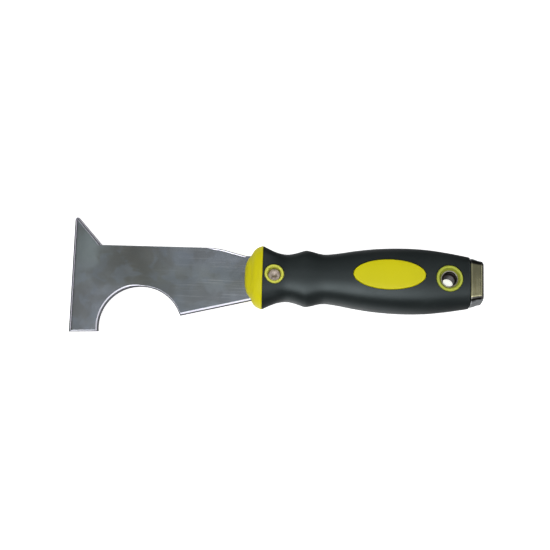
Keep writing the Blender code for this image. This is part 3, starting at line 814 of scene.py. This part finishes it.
def make_ferrules(*nickels):
    """The hang hole's lining, each half with a rolled flange and a flared bore, the bore painted dark brown
    as painted shade.
    """
    seat, flange, top, mouth = HANG_SEAT, HANG_FLANGE_R, HANG_SEAT + 0.5, HANG_MOUTH_R
    bore, inner = HANG_BORE_R, HANG_INNER_BORE_R
    roll = (flange - bore - 0.25) / 2
    upper = [(bore + 0.4, seat), (bore + 0.4, -2.0), (bore, -2.0), (bore, top - 1.7),
             (bore + 0.05, top - 1.2), (bore + 0.14, top - 0.8)]
    upper += round_corner((flange - roll, top - roll), roll, 180, 0, 8)
    upper += [(flange, seat)]
    lower = [(bore - GAP, 4.0), (bore - GAP, -2.6), (bore + 0.5, -3.3), (bore + 0.5, -seat), (flange, -seat)]
    lower += round_corner((flange - 0.2, -top + 0.2), 0.2, 0, -90)
    lower += [(mouth, -top), (mouth - 0.12, -top + 0.1), (bore, -top + 1.1), (bore - 0.3, -top + 2.4),
              (inner, -4.3), (inner, 4.0)]
    for name, profile in (("upper", upper), ("lower", lower)):
        piece = lathe(f"hang_ferrule_{name}_detail", profile, HANG_X, bored=True)
        finish_piece(piece, "nickel_plate", [f"hang_ferrule_{name}"], *nickels)
        # Painted shade: the faces inside the bore take the dark second material.
        for face in piece.data.polygons:
            x, y, z = face.center / MM - AXIS
            inside = math.hypot(x - HANG_X, y) < bore + 0.3 and abs(z) < top - 0.5
            face.material_index = int(inside)


# ---------------------------------------------------------------- studio

# Brightness of the surroundings by degrees from overhead, negative towards the camera's side
STUDIO = ((-180, 1.0), (-150, 0.95), (-130, 1.15), (-112, 1.3), (-98, 0.85), (-88, 0.6), (-72, 0.36),
          (-56, 0.2), (-46, 0.2), (-38, 0.5), (-32, 3.2), (-25, 5.6), (-14, 5.2), (-5, 4.0), (2, 2.5),
          (7, 0.9), (11, 0.42), (20, 0.42), (40, 0.62), (52, 0.42), (66, 0.22), (95, 0.22), (112, 0.5),
          (180, 0.6))
# How that changes from the blade's end, at -1, to the cap's end, at 1
ALONG = ((-1.0, 0.3), (-0.5, 0.35), (-0.36, 0.9), (-0.2, 1.0), (0.0, 1.0), (0.07, 0.65), (0.15, 0.26),
         (0.26, 0.2), (1.0, 0.2))
# A dimmer panel towards the cap's end, on the same scale
SIDE = ((-1.0, 0.0), (0.41, 0.0), (0.46, 1.1), (0.58, 1.1), (0.66, 0.4), (1.0, 0.2))

CAMERA_AZIMUTH, CAMERA_ELEVATION = 1.6, 76.5  # degrees
CAMERA_DISTANCE = 0.82  # metres from the tool's axis
FLOOR_HALF = 6.0  # metres


def make_floor():
    """A plain pale floor that glows a little, so that the tool's shadow on it is faint."""
    mesh = bpy.data.meshes.new("floor")
    corners = [(x * FLOOR_HALF, y * FLOOR_HALF, 0) for x, y in ((-1, -1), (1, -1), (1, 1), (-1, 1))]
    mesh.from_pydata(corners, [], [(0, 1, 2, 3)])
    floor = bpy.data.objects.new("floor", mesh)
    bpy.context.scene.collection.objects.link(floor)
    material = bpy.data.materials.new("pale_floor")
    material.use_nodes = True
    shader = material.node_tree.nodes["Principled BSDF"]
    shader.inputs["Base Color"].default_value = (0.86, 0.86, 0.86, 1)
    shader.inputs["Roughness"].default_value = 0.9
    shader.inputs["Specular IOR Level"].default_value = 0.1
    shader.inputs["Emission Color"].default_value = (1, 1, 1, 1)
    shader.inputs["Emission Strength"].default_value = 0.75
    mesh.materials.append(material)
    floor.visible_glossy = False


def level_ramp(tree, value, stops):
    """Brightness through stops of (value, level)."""
    low, high, peak = stops[0][0], stops[-1][0], max(level for _, level in stops)
    place = tree.nodes.new("ShaderNodeMapRange")
    place.inputs["From Min"].default_value, place.inputs["From Max"].default_value = low, high
    tree.links.new(value, place.inputs["Value"])
    ramp = tree.nodes.new("ShaderNodeValToRGB")
    tree.links.new(place.outputs["Result"], ramp.inputs["Fac"])
    elements = ramp.color_ramp.elements
    while len(elements) < len(stops):
        elements.new(0.5)
    for element, (where, level) in zip(elements, stops):
        element.position = (where - low) / (high - low)
        element.color = (level / peak, level / peak, level / peak, 1.0)
    return world_math(tree, "MULTIPLY", ramp.outputs["Color"], peak)


def world_math(tree, operation, *values):
    """A Math node in the world's tree."""
    node = tree.nodes.new("ShaderNodeMath")
    node.operation = operation
    for socket, value in zip(node.inputs, values):
        if isinstance(value, float):
            socket.default_value = value
        else:
            tree.links.new(value, socket)
    return node.outputs[0]


def make_world():
    """A studio's surroundings: a large soft panel overhead, a dimmer one beyond the cap, and dim walls."""
    world = bpy.data.worlds.new("studio")
    bpy.context.scene.world = world
    world.use_nodes = True
    tree = world.node_tree
    coords = tree.nodes.new("ShaderNodeTexCoord")
    parts = tree.nodes.new("ShaderNodeSeparateXYZ")
    tree.links.new(coords.outputs["Generated"], parts.inputs[0])
    x, y, z = parts.outputs
    degrees = world_math(tree, "MULTIPLY", world_math(tree, "ARCTAN2", y, z), math.degrees(1.0))
    main = world_math(tree, "MULTIPLY", level_ramp(tree, degrees, STUDIO), level_ramp(tree, x, ALONG))
    above = level_ramp(tree, z, ((-1.0, 0.0), (0.0, 0.0), (0.3, 1.0), (1.0, 1.0)))
    side = world_math(tree, "MULTIPLY", level_ramp(tree, x, SIDE), above)
    background = tree.nodes["Background"]
    background.inputs["Color"].default_value = (0.97, 0.99, 1.0, 1.0)
    tree.links.new(world_math(tree, "ADD", main, side), background.inputs["Strength"])


def make_camera():
    azimuth, elevation = math.radians(CAMERA_AZIMUTH), math.radians(CAMERA_ELEVATION)
    back = Vector((math.sin(azimuth) * math.cos(elevation), -math.cos(azimuth) * math.cos(elevation),
                   math.sin(elevation)))
    camera = bpy.data.cameras.new("camera")
    camera.sensor_width = 36.0
    camera.lens = 102.4
    camera.shift_x, camera.shift_y = -0.0056, 0.0057
    camera.clip_start, camera.clip_end = 0.01, 50.0
    obj = bpy.data.objects.new("camera", camera)
    bpy.context.scene.collection.objects.link(obj)
    obj.location = AXIS * MM + back * CAMERA_DISTANCE
    obj.rotation_mode = "QUATERNION"
    obj.rotation_quaternion = (-back).to_track_quat("-Z", "Y")
    bpy.context.scene.camera = obj
    bpy.context.scene.view_settings.view_transform = "Standard"


def main():
    make_camera()
    make_blade(polished_steel(), painted_highlight_steel(), painted_dark_edge_steel())
    make_core(yellow_plastic())
    make_grip(black_rubber())
    make_cap(chrome_plate())
    make_rivet(nickel_plate("dull_nickel", (0.27, 0.215, 0.185), (0.55, 0.47, 0.42), 0.42, 0.6))
    make_ferrules(nickel_plate("rolled_nickel", (0.24, 0.22, 0.18), (0.46, 0.43, 0.37), 0.3, 0.45),
                  nickel_plate("bore_painted_shade", (0.035, 0.025, 0.025), (0.085, 0.064, 0.062), 0.35, 0.55))
    for obj in cutters:
        bpy.data.objects.remove(obj, do_unlink=True)
    make_floor()
    make_world()


main()
